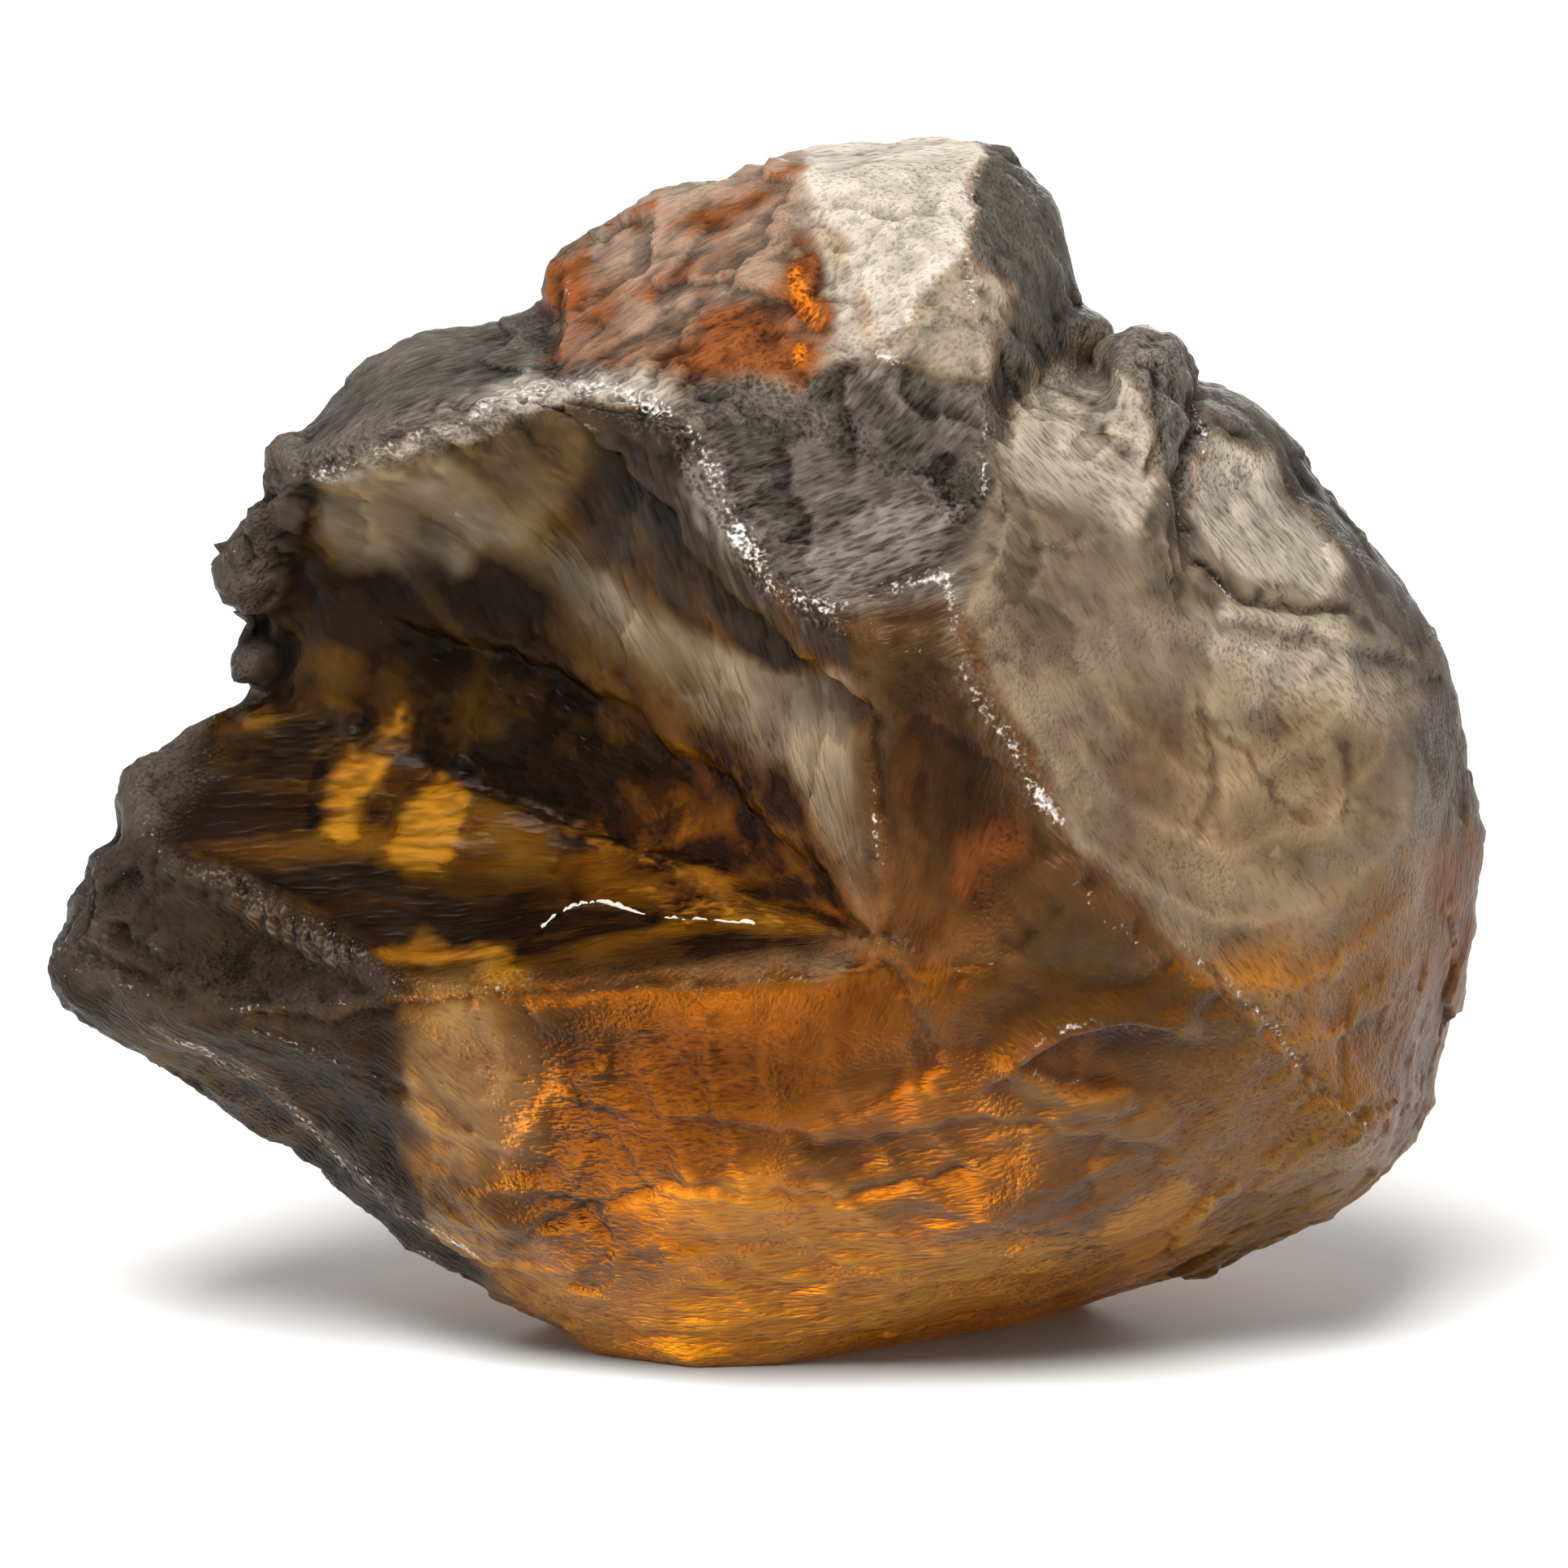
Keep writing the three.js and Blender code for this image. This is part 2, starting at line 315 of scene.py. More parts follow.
def soften(piece, ridges):
    """Rounds the broad faces into each other, and leaves the ridges crisp."""
    gap = off_ridges(read(piece.data)[0], ridges)
    group = piece.vertex_groups.new(name="broad")
    for index, weight in enumerate(ramp(0.3, 3, gap).tolist()):
        group.add([index], weight, "REPLACE")
    broad = piece.modifiers.new("broad faces", "SMOOTH")
    broad.factor = 0.5
    broad.iterations = 120
    broad.vertex_group = group.name
    cells_left = piece.modifiers.new("remeshed cells", "SMOOTH")
    cells_left.factor = 0.5
    cells_left.iterations = 2
    apply_modifiers(piece)
    piece.vertex_groups.clear()


def ripples(places):
    """Curved ripples that run out from each blow and die away at the edge of its scar."""
    height = np.zeros(len(places))
    stir = 0.8 * lumps(places, 5, 2, 31)
    for blow, middle, reach, spacing in BLOWS:
        run = np.linalg.norm(places - blow, axis=1) + stir
        wave = 1 - np.abs(np.sin(math.pi * run / spacing))
        inside = 1 - ramp(0.55, 1, np.linalg.norm(places - middle, axis=1) / reach)
        height = np.maximum(height, wave ** 2 * inside)
    return height


def relief(grain):
    """The steps and slivers of a break, which run along the grain of the face."""
    steps = terraces(1.7 * lumps(grain, (13, 6, 6), 4, 6)) * 0.16
    slivers = 0.1 * np.abs(lumps(grain, (3, 0.9, 0.9), 3, 8))
    return steps + slivers


def sculpt(piece, ridges):
    """Moves the points out and in along their normals to give the broken faces their relief."""
    places, normals = read(piece.data)
    spots = on_show_plane(places)
    shown = ramp(0, 0.3, normals @ TO_VIEWER)
    outline = ramp(-0.7, -0.3, normals @ TO_VIEWER)
    gap = off_ridges(places, ridges)
    grain, next_grain, share, _ = grain_of(places)
    rugged = 1 - 0.6 * within(spots, HOLLOW, 1) * shown
    for centre, half, turn, rougher in RUGGED:
        rugged += rougher * patch(spots, centre, half, turn) * shown

    # All over: broad and small lumps, ripples, the steps and slivers of the grain, and chips.
    height = 0.15 + 0.3 * lumps(places, 9, 2, 4) + 0.1 * lumps(places, 2.6, 3, 5)
    height += 0.12 * ripples(places)
    height += rugged * (share * relief(grain) + (1 - share) * relief(next_grain))
    height += rugged * (0.34 * chips(places, 5.6, 16) + 0.06 * chips(places, 2.1, 17) + 0.1)
    # The bright band under the slab is crumbled.
    height += shown * 0.35 * patch(spots, (-10, 38.6), (8, 1.4), 16) * lumps(places, 0.9, 2, 8)

    for line, rise, fade in STEPS:
        away, left = off_line(spots + 0.35 * lumps(places, 2, 2, 9)[:, None], line)
        height += shown * rise * ramp(-0.15, 0.25, left) * (1 - ramp(0, fade, away))
    for line, depth in CRACKS:
        away, _ = off_line(spots + 0.25 * lumps(places, 1.2, 2, 10)[:, None], line)
        height -= shown * depth * np.exp(-(away / CRACK_WIDTH) ** 2)
    for spot, radius, rise in KNOBS:
        gone = np.hypot(*(spots - spot).T) / radius
        height += outline * rise * (1 - ramp(0.1, 1, gone))
    # The left edge is chipped, above the lip and on its end.
    rough = np.maximum(
        patch(spots, (-21, 32.5), (2.4, 7), -6), patch(spots, (-28, 20), (2.2, 5), 25))
    height += outline * 0.5 * rough * (0.3 + chips(places, 1.9, 11))

    # Every ridge is worn down a little, and nicked.
    edge = 1 - ramp(0.1, 1.2, gap)
    height -= edge * (0.08 + 0.4 * np.clip(lumps(places, 1.6, 3, 12), 0, 1))

    # A ledge with small steps side by side crosses the left end of the hollow.
    stir = lumps(places, 2.2, 2, 14)
    band = shown * patch(spots, (-19.8, 17.8), (5.8, 0.9), -27, 0.3)
    height += band * (0.3 + 0.12 * np.sin(2 * math.pi * (spots[:, 0] + 0.6 * stir) / 0.8))

    # The flat that the stone stands on keeps its shape.
    places = places + normals * (height * ramp(0.2, 1.5, places[:, 2]))[:, None]
    places[:, 2] = np.maximum(places[:, 2], 0)
    piece.data.vertices.foreach_set("co", (places * MM).ravel())
    piece.data.update()


def thin_out(piece):
    """Thins the mesh out until it has no more than TRIANGLES."""
    piece.data.calc_loop_triangles()
    decimate = piece.modifiers.new("thin out", "DECIMATE")
    decimate.ratio = min(1, TRIANGLES / len(piece.data.loop_triangles))
    apply_modifiers(piece)


# --- what shows where ----------------------------------------------------------------------

# The faces of the show side: an outline on the show plane, how soft its edge is, in mm, and how
# much of each finish it has. A later face lies over an earlier one.
FACES = [
    # All that is above the lower face, where nothing else is said.
    ([(-35, 16), (-35, 60), (40, 60), (40, 16)], 2, dict(slate=0.6, milk=0.8, smoke=0.5)),
    # The left end, under and around the lip, darkened with painted shade.
    ([(-35, 24), (-14.5, 17), (-14.5, 8), (-11, 2), (-35, 2)], 1, dict(under_shade=0.8, slate=0.4, smoke=1)),
    # The great hollow, and the wall that closes it on the right.
    ([(-21, 37), (-8, 39), (4, 29), (4.6, 17), (-14.4, 14.6), (-26, 20), (-23, 27)], 1.0,
     dict(smoke=0.8, milk=0.1, amber=0.1)),
    ([(-10.5, 33.4), (-7.4, 33.4), (-3.9, 29.8), (3.4, 28.2), (4.5, 17.6), (0.5, 23.5),
      (-3.2, 26.2), (-7.6, 30)], 0.9,
     dict(milk=0.85, smoke=0.25, amber=0.25)),
    # Two golden planes deep in the hollow, with the glint of light off them painted on in gold.
    ([(-19.1, 22.2), (-17.5, 25.2), (-15.5, 24.6), (-17.2, 20.8)], 0.45, dict(amber=0.9, gold_glow=0.6)),
    ([(-15.8, 19.9), (-15.1, 22.5), (-13.6, 24.1), (-12.1, 22.7), (-13.4, 19.9)], 0.45,
     dict(amber=0.9, gold_glow=0.6)),
    ([(-19.4, 36.2), (-14, 37.4), (-8.6, 39), (-7.4, 36.4), (-9.8, 33.2), (-12.6, 31.6),
      (-17.6, 32)], 1, dict(milk=1.0, smoke=0.3)),
    # The steep band under the ridge faces down: its dark slate and smoke are painted shade.
    ([(-8.6, 38.8), (-4.9, 39.2), (-2.5, 36.8), (-1.3, 34.1), (0.2, 31.5), (3.3, 30.4),
      (4.1, 27.9), (0.5, 28.5), (-3.5, 30), (-5.9, 33), (-6.9, 35.8)], 0.5,
     dict(slate=0.35, smoke=0.95)),
    # The face between the hollow and the crest, and the lower face.
    ([(3.3, 30), (7, 31), (10.4, 25.6), (12.8, 20.8), (17.2, 16.5), (4.6, 15.7), (4.5, 20)], 0.6,
     dict(amber=0.1, milk=0.35, smoke=0.6)),
    ([(-15.2, 14.5), (4.6, 15.8), (17.2, 16.2), (24.7, 9.1), (22, 3), (6, -4), (-12, -2),
      (-14.5, 8)], 0.5, dict(amber=0.3, milk=0.12, smoke=0.58)),
    # The lip, with its dark end, and the frosted ledge under it, both darkened with painted shade.
    ([(-33, 17), (-28, 21.8), (-20.9, 19.4), (-14.4, 14.9), (-18.5, 12.7), (-26, 13.6)], 0.5,
     dict(under_shade=0.4, slate=0.4, smoke=1)),
    ([(-25.3, 13.4), (-18.5, 12.7), (-14.6, 14.6), (-14.4, 8.6), (-17.5, 9.4)], 0.7,
     dict(under_shade=0.75, smoke=1)),
    ([(-33, 16), (-25.3, 13.2), (-20.9, 11), (-17.8, 7.9), (-11.7, 3.2), (-14, 1), (-33, 8)], 0.5,
     dict(under_shade=0.55, slate=0.3, smoke=1)),
    # The body right of the crest: cloudy above, tan in the middle, brown and rusty below.
    ([(9.5, 36), (15.5, 33.7), (24, 31), (30, 27), (30, 8), (24.7, 8.6), (17.2, 16.2),
      (12.8, 20.8), (10.1, 26.2), (7.8, 30.3)], 0.35, dict(milk=0.85, smoke=0.25)),
    ([(14, 26.6), (26, 27.4), (26.5, 22.6), (22.3, 19.6), (15, 19.6)], 2.2,
     dict(milk=0.75, amber=0.7)),
    ([(17.5, 16.4), (23, 17.4), (28.8, 22), (32, 8), (20, 0), (20, 5), (24.7, 9.1)], 1.8,
     dict(milk=0.25, rust=0.35, smoke=0.1, amber=0.7)),
    # The pale lens beside the crest, the steps, the facet right of them and the dark rim.
    ([(10.4, 40.2), (13.1, 41.2), (15.5, 39.2), (16.6, 35.8), (15.2, 33.4), (12.1, 34.6),
      (9.6, 35.8)], 0.6, dict(frost=0.42, milk=0.95)),
    ([(13.2, 42.8), (17.2, 41.8), (18.2, 37.8), (17.4, 34.4), (16.4, 35.8), (15.7, 39)], 0.4,
     dict(slate=0.9, frost=0.2)),
    ([(18.2, 37.8), (20.9, 37.1), (24.3, 32.4), (23.6, 30.8), (18.9, 32.4), (17.4, 34.4)], 0.5,
     dict(frost=0.6, milk=0.9)),
    ([(16.6, 42.2), (23.5, 38.6), (29, 31), (27, 28.8), (24.3, 32.4), (20.9, 37.1), (18.2, 38.5)],
     0.6, dict(slate=0.9, smoke=0.3)),
    # The dish under the summit.
    ([(-3.4, 39.5), (0.5, 39.9), (4.8, 40.6), (9.2, 39.8), (8.9, 35.8), (8, 34.1), (7, 32),
      (2.2, 30.7), (0.2, 31.9), (-1.2, 34.1), (-2.2, 36.8)], 0.5,
     dict(slate=0.85, smoke=0.9, frost=0.1)),
    # The summit: its bright face, the grey one below, the dark strip and the rusty block.
    ([(-8.8, 44.9), (-4.9, 48), (1.4, 50), (3.6, 44.4), (4.4, 41.5), (0.5, 39.7), (-3.9, 39.7),
      (-8.8, 41.2)], 0.7, dict(frost=0.5, milk=0.9, rust=0.5)),
    ([(1.4, 50), (9.2, 51), (8.4, 45.3), (6.3, 42.9), (4.8, 40.8), (4.1, 41.9), (3.6, 44.4),
      (2.2, 46.3)], 0.4, dict(frost=1.0)),
    ([(6.3, 42.9), (8.4, 45.3), (10.2, 43.6), (9.9, 41.2), (9.2, 39.8), (4.8, 40.8)], 0.6,
     dict(frost=0.15, milk=0.95)),
    ([(8.9, 51), (12, 51), (12.4, 47), (13.8, 42.6), (11.8, 40.9), (10.1, 38.5), (9.2, 39.8),
      (10.2, 43.6), (8.4, 45.3)], 0.4, dict(slate=1.0)),
    # The slab on the left, the bright band under it and the knobbly left edge.
    ([(-21, 37.4), (-18.5, 40.5), (-13, 43.6), (-9, 44.8), (-8.4, 41.2), (-5.2, 40.2),
      (-10.3, 39.5), (-15.1, 37.1), (-18.8, 35.7)], 0.5, dict(slate=0.95, frost=0.12)),
    ([(-18.8, 35.7), (-15.1, 37.3), (-10.3, 39.9), (-4.9, 40.5), (-3.2, 38.9), (-8.3, 39),
      (-13, 37.1), (-16.4, 36)], 0.4, dict(frost=0.6, slate=0.8)),
    ([(-22, 38), (-18.6, 36), (-20.2, 32), (-20.4, 27.4), (-24, 26), (-25, 34)], 0.5,
     dict(slate=0.6, smoke=1)),
]

# Spots within the faces: centre, half-sizes, turn in degrees, and the finishes they change.
SPOTS = [
    ((-26.2, 23.8), (2.6, 2.8), 0, dict(slate=0.6, smoke=1, amber=0)),
    ((-28.4, 17), (1.4, 3.2), 20, dict(slate=0.6, frost=0.1)),
    ((-14, 30.4), (4.4, 1.7), -10, dict(smoke=1.0, amber=0)),
    ((-23, 22.6), (4.4, 3), -20, dict(smoke=1.0, amber=0)),
    # Black painted shade in the deepest places of the hollow.
    ((-19.6, 28), (1.6, 3.6), 0, dict(smoke=1.0, amber=0, under_shade=0.7)),
    ((-17, 18.4), (6, 1.4), -12, dict(smoke=1.0, amber=0, under_shade=0.5)),
    ((-5.4, 19.6), (8, 1.6), -16, dict(smoke=0.7, amber=0.6)),
    # Golden spots and streaks in the hollow: a painted glint of light through the crystal.
    ((-15.6, 25.6), (1.2, 0.7), -30, dict(gold_glow=0.5)),
    ((-12.6, 16.2), (3, 0.8), -8, dict(smoke=0.3, amber=1.0, gold_glow=0.5)),
    ((-5, 20.2), (5, 0.4), -24, dict(gold_glow=0.36)),
    ((-2.4, 18.1), (4, 0.4), -12, dict(gold_glow=0.45)),
    ((-17.6, 27.6), (2.2, 1.6), 0, dict(smoke=0.7, amber=0.2)),
    ((-8.5, 26.4), (3.4, 0.9), -35, dict(smoke=0.9)),
    ((-10, 37), (3, 2.2), 10, dict(smoke=0.7, milk=0.5, amber=0)),
    ((8.7, 20.6), (2.3, 1.5), 35, dict(rust=0.62, smoke=0.9)),
    ((6.4, 24.4), (1.4, 2.2), 0, dict(rust=0.3, smoke=0.8)),
    ((2, 12.4), (10, 2), 4, dict(smoke=0.6, amber=0.35)),
    ((-5, 10.6), (7.4, 4), -4, dict(smoke=0.8)),
    ((12, 9.4), (5, 2.4), -10, dict(smoke=0.2, milk=0.35, amber=0.5)),
    ((20, 8), (5, 5), 30, dict(smoke=0.3, rust=0.25, milk=0, amber=0.9)),
    ((28.4, 12), (2.4, 7), -12, dict(smoke=0.65, slate=0.3)),
    ((13, 11.9), (2.6, 0.9), -4, dict(smoke=0.6, rust=0.5)),
    ((4, 9.9), (3.6, 0.9), 10, dict(rust=0.45, smoke=0.4)),
    # Golden spots low on the lower face: a painted glow of light through the crystal.
    ((2.6, 2.4), (12, 2.8), 6, dict(amber=1.0, milk=0.1, smoke=0, gold_glow=0.45)),
    ((-6.6, 5.4), (5.4, 3.6), 0, dict(smoke=0.78)),
    ((-12.2, 11), (3, 3.8), 0, dict(milk=0.55, amber=0.8, smoke=0)),
    ((-0.5, 5.8), (4.6, 1.5), 0, dict(amber=1.0, milk=0.2, smoke=0, gold_glow=0.5)),
    ((16.4, 5), (2.8, 1.8), 20, dict(amber=1.0, rust=0.2, smoke=0, gold_glow=0.5)),
    ((-10.6, 3.4), (3.8, 1.2), -34, dict(amber=0.9, smoke=0, gold_glow=0.42)),
    ((-14.4, 8.4), (1, 1.6), 0, dict(amber=0.9, gold_glow=0.5)),
    ((9.4, 8.6), (8, 2), 6, dict(milk=0.35, amber=0.4)),
    ((-1.2, 41.3), (2.8, 1.5), 10, dict(rust=0.8, smoke=1, frost=0.1)),
    ((-7.4, 43), (1.6, 1.6), 40, dict(rust=0.6, smoke=0.5, frost=0.3)),
    ((1.6, 42.8), (1.5, 3), -8, dict(rust=0.7, amber=1, frost=0.3)),
    ((3.2, 43.6), (0.7, 3), 18, dict(frost=0.6, amber=1.0, rust=0)),
    ((-8.2, 43.8), (0.9, 1.2), 0, dict(rust=0.9, smoke=0.6)),
    ((-19.8, 17.7), (6, 0.8), -27, dict(frost=0.15)),
    # Pale frosted streaks near the dish's lower rim: a painted highlight.
    ((4.4, 33), (3.6, 1.4), 20, dict(frost=0.35)),
    ((-2, 34.5), (0.9, 2.4), 30, dict(frost=0.35)),
    ((11.8, 32), (2.4, 3.4), 0, dict(smoke=0.4)),
    ((15.5, 24.6), (1.4, 3), -15, dict(smoke=0.4)),
    ((21.5, 21), (3, 1.4), -20, dict(smoke=0.3)),
    ((25, 24), (1.4, 3), 10, dict(smoke=0.3)),
    ((18.5, 31), (2.4, 1.4), -30, dict(smoke=0.45)),
    ((22, 28.4), (5, 1.8), -20, dict(frost=0.4, smoke=0.1)),
    ((28.4, 24.6), (1.6, 4.6), 8, dict(smoke=0.6)),
    ((28.6, 17.7), (1.4, 3.4), 0, dict(rust=0.6, smoke=0.5)),
    ((26, 12.6), (2.4, 4), 0, dict(rust=0.35, smoke=0.55, milk=0)),
    ((7, 24), (1.6, 5), 12, dict(smoke=0.75)),
]


def all_round(places):
    """What shows on the sides and the back: frosted above, amber below with a painted golden glow,
    stained here and there.
    """
    height = places[:, 2] + 3 * lumps(places, 9, 2, 11)
    return {
        "frost": 0.5 * ramp(30, 46, height),
        "slate": 0.8 * ramp(0.05, 0.3, lumps(places, 13, 2, 12)) * ramp(8, 24, height),
        "milk": 0.7 * ramp(14, 30, height),
        "smoke": 0.6 * ramp(0, 0.35, lumps(places, 11, 2, 15)) * ramp(2, 16, height),
        "amber": 0.9 * (1 - ramp(8, 26, height)),
        "gold_glow": 0.45 * ramp(0, 0.6, lumps(places, 7, 4, 18)) * (1 - ramp(5, 14, height)),
        "rust": 0.6 * ramp(0.1, 0.7, lumps(places, 9, 4, 13)),
    }


def stand_out(mesh, places, normals):
    """How far each point stands out from the surface about a millimetre around it, in mm."""
    ends = np.empty(len(mesh.edges) * 2, dtype=np.int64)
    mesh.edges.foreach_get("vertices", ends)
    ends = np.concatenate([ends.reshape(-1, 2), ends.reshape(-1, 2)[:, ::-1]])
    count = np.bincount(ends[:, 0])
    level = places
    for _ in range(8):
        level = np.column_stack([
            np.bincount(ends[:, 0], weights=level[ends[:, 1], axis]) / count for axis in range(3)
        ])
    return np.einsum("ij,ij->i", places - level, normals)


def write_layer(mesh, name, values):
    """Writes a number, or a vector, on each point of the mesh for the material to read."""
    kind, field = ("FLOAT", "value") if values.ndim == 1 else ("FLOAT_VECTOR", "vector")
    layer = mesh.attributes.new(name, kind, "POINT")
    layer.data.foreach_set(field, values.ravel())


# Stains along a line: the line, how wide they are in mm, and the finishes they change.
STAINS = [
    ([(-9, 44), (-6.6, 46.4), (-4.2, 47.3), (-1.5, 47), (1.3, 49)], 1.3, dict(rust=0.85, smoke=0.3)),
    ([(1.1, 45.6), (1.9, 42.9), (1.2, 40.4)], 1.5, dict(rust=0.95, amber=1, frost=0.1)),
    ([(-8.6, 40.8), (-5.6, 43), (-2.6, 45), (-1, 46.6)], 1.6, dict(rust=0.75)),
    ([(-6.4, 40.6), (-3.4, 42.8), (-1.4, 44)], 1.2, dict(rust=0.65, smoke=0.3)),
    ([(1.2, 44.4), (1.8, 42.6), (1.3, 41.2)], 0.7, dict(ember=0.9)),
    ([(8.2, 45.4), (8.5, 44.4)], 0.5, dict(rust=0.8)),
    ([(4.5, 17.5), (4, 22), (3.7, 27.5)], 0.6, dict(smoke=0.5)),
    ([(10.4, 40.2), (12.3, 39.4), (14.8, 37.4)], 0.35, dict(smoke=0.7, frost=0.2)),
    ([(17.3, 41), (17.6, 38.2), (17, 35), (17.6, 32.4), (19.6, 30.8)], 0.5,
     dict(smoke=0.9, frost=0)),
    ([(16.2, 40.4), (16.5, 38.4), (16, 36.4)], 0.4, dict(smoke=0.9, frost=0)),
    ([(19.4, 31.2), (21.6, 31.6), (24, 30.4), (26.6, 28.8)], 0.5, dict(smoke=0.7, frost=0.1)),
    ([(-25.3, 13.6), (-21, 12.6), (-18, 12.9), (-15, 14.2)], 0.35, dict(smoke=1, slate=0.2)),
]

# The finishes, and how far the streaks of the break fray the edge of each.
FRAY = {
    "amber": 0.5, "milk": 0.4, "smoke": 0.5, "gold_glow": 1.2, "slate": 0.6, "under_shade": 0.6,
    "frost": 0.6, "rust": 0.8, "ember": 1.2, "bruise_highlight": 3,
}

# Ridges with crushed, white edges, whitened further as a painted highlight: a line, how wide they are
# in mm, and how white.
BRUISED_HIGHLIGHTS = [
    (CREST[:7], 0.25, 0.28), (CREST[6:11], 0.5, 0.4), (CREST[10:], 0.2, 0.28),
    (DISH_RIM, 0.7, 0.36), (RIDGE_BAND, 0.8, 0.32), (UNDER_LIP, 0.3, 0.35),
    ([(17.6, 40), (18.1, 36.4), (16.9, 34.4), (17.6, 32.4), (19.5, 30.6)], 0.3, 0.3),
    ([(18.2, 15.9), (22.3, 11.6), (24.7, 9.1)], 0.2, 0.3),
    ([(10.4, 12), (12.1, 13.2), (14.1, 13.7), (16.2, 13.3)], 0.15, 0.3),
    ([(13.9, 10.8), (12.1, 11.1), (10.4, 12)], 0.15, 0.3),
]


def lay(amounts, share, finishes):
    """Brings each point's amounts of some finishes to new ones, as far as its share says."""
    for name, amount in finishes.items():
        amounts[name] += (amount - amounts[name]) * share


def finishes_of(places, spots, stir, grain):
    """How much of each finish every point of the show side has."""
    amounts = {name: np.zeros(len(places)) for name in FRAY}
    for outline, soft, finishes in FACES:
        share = within(spots + (0.25 + 0.5 * soft) * stir, outline, soft)
        lay(amounts, share, {name: finishes.get(name, 0) for name in FRAY})
    for centre, half, turn, finishes in SPOTS:
        lay(amounts, patch(spots + 0.9 * stir, centre, half, turn), finishes)

    # Dark streaks fan out over the hollow, and golden ones between them low in it.
    fan = within(spots, HOLLOW, 1.5) * lumps(grain, (10, 1, 1), 3, 26)
    fan *= 1 - 0.7 * amounts["milk"]
    low = 1 - ramp(24, 29, spots[:, 1])
    amounts["smoke"] = np.clip(amounts["smoke"] + 0.6 * fan, 0, 1)
    amounts["amber"] = np.clip(amounts["amber"] - 0.6 * low * fan, 0, 1)

    broken = ramp(-0.35, 0.25, lumps(places, 1.7, 3, 27))
    for line, width, finishes in STAINS:
        away, _ = off_line(spots + 0.8 * stir, line)
        lay(amounts, (1 - ramp(0, width, away)) * broken, finishes)
    return amounts


def mark(piece, ridges):
    """Writes on each point of the mesh how much of each finish shows there, the grain, and the
    painted light and shade of the relief.
    """
    places, normals = read(piece.data)
    spots = on_show_plane(places)
    grain, _, _, seam = grain_of(places)
    shown = ramp(-0.2, 0.1, normals @ TO_VIEWER)
    stir = np.column_stack([lumps(places, 2.6, 3, seed) for seed in (21, 22)])
    amounts = finishes_of(places, spots, stir, grain)

    # Every ridge is a little crushed and painted a little paler, partly as a highlight. Some are
    # crushed white, with a painted highlight and a frosted band along them.
    bruise_highlight = 0.2 * (1 - ramp(0.05, 0.5, off_ridges(places, ridges)))
    for line, width, strength in BRUISED_HIGHLIGHTS:
        away, _ = off_line(spots + 0.3 * stir, line)
        bruise_highlight = np.maximum(bruise_highlight, strength * shown * (1 - ramp(0, width, away)))
        halo = strength * (1 - ramp(0, 3.5 * width, away))
        amounts["frost"] = np.maximum(amounts["frost"], 0.5 * halo)
    around = all_round(places)
    amounts["bruise_highlight"] = around["bruise_highlight"] = bruise_highlight * (1 + 1.3 * lumps(places, 2.4, 3, 24))

    # The material adds the streaks, 0.2 to 0.8, times the fray. They don't show at 0 or at 1.
    for name, fray in FRAY.items():
        amount = amounts[name] * shown + around.get(name, 0) * (1 - shown)
        write_layer(piece.data, name, amount * (1 + 0.6 * fray) - 0.8 * fray)

    # Painted highlight and shade: what stands out by 0.1 mm is painted pale, and what lies 0.1 mm
    # deep is painted dark, with broad random tone over it.
    relief_light_shade = np.clip(stand_out(piece.data, places, normals) / 0.22, -0.45, 0.45)
    write_layer(piece.data, "relief_light_shade", 0.5 + relief_light_shade + 0.25 * lumps(places, 4.5, 3, 25))
    write_layer(piece.data, "grain", grain * MM)
    write_layer(piece.data, "seam", seam)


def make_stone():
    """The whole stone: an even mesh, softened, chipped, thinned out and marked."""
    piece, ridges = copy_of_cad()
    remesh = piece.modifiers.new("even cells", "REMESH")
    remesh.mode = "VOXEL"
    remesh.voxel_size = REMESH_CELL * MM
    apply_modifiers(piece)
    soften(piece, ridges)
    sculpt(piece, ridges)
    thin_out(piece)
    mark(piece, ridges)
    piece.data.shade_smooth()
    return piece


# --- what is sealed inside -----------------------------------------------------------------


def surface_point(tree, spot, depth):
    """The point `depth` mm behind the show surface at a spot of the show plane."""
    up = Vector((0, math.sin(LEAN), math.cos(LEAN)))
    to_viewer = Vector(TO_VIEWER)
    start = Vector((spot[0], 0, 0)) + up * spot[1] + to_viewer * 100
    hit, _, _, _ = tree.ray_cast(start * MM, -to_viewer)
    return hit / MM - to_viewer * depth


def flake(name, places, half, thickness, seed):
    """A thin ragged flake through several places, one after another."""
    bm = bmesh.new()
    bmesh.ops.create_icosphere(bm, subdivisions=4, radius=1)
    centre = sum(places, Vector()) / len(places)
    along = (places[-1] - places[0]).normalized()
    facing = Vector(TO_VIEWER)
    facing = (facing - along * facing.dot(along)).normalized()
    across = facing.cross(along)
    length = (places[-1] - places[0]).length / 2 + half
    for vert in bm.verts:
        x, y, z = vert.co
        ragged = 1 + 0.5 * noise.fractal((x * 2 + seed, y * 2, seed), 1, 2, 3)
        wave = 0.25 * noise.fractal((x * 1.5, y * 1.5 + seed, 0.3), 1, 2, 2)
        vert.co = centre + along * (x * length * ragged) + across * (y * half * ragged)
        vert.co += facing * (z * thickness + 0.4 * wave * half)
        vert.co *= MM
    if bm.calc_volume(signed=True) < 0:
        bmesh.ops.reverse_faces(bm, faces=bm.faces)
    mesh = bpy.data.meshes.new(name)
    bm.to_mesh(mesh)
    bm.free()
    mesh.shade_smooth()
    piece = bpy.data.objects.new(name, mesh)
    bpy.context.scene.collection.objects.link(piece)
    return piece


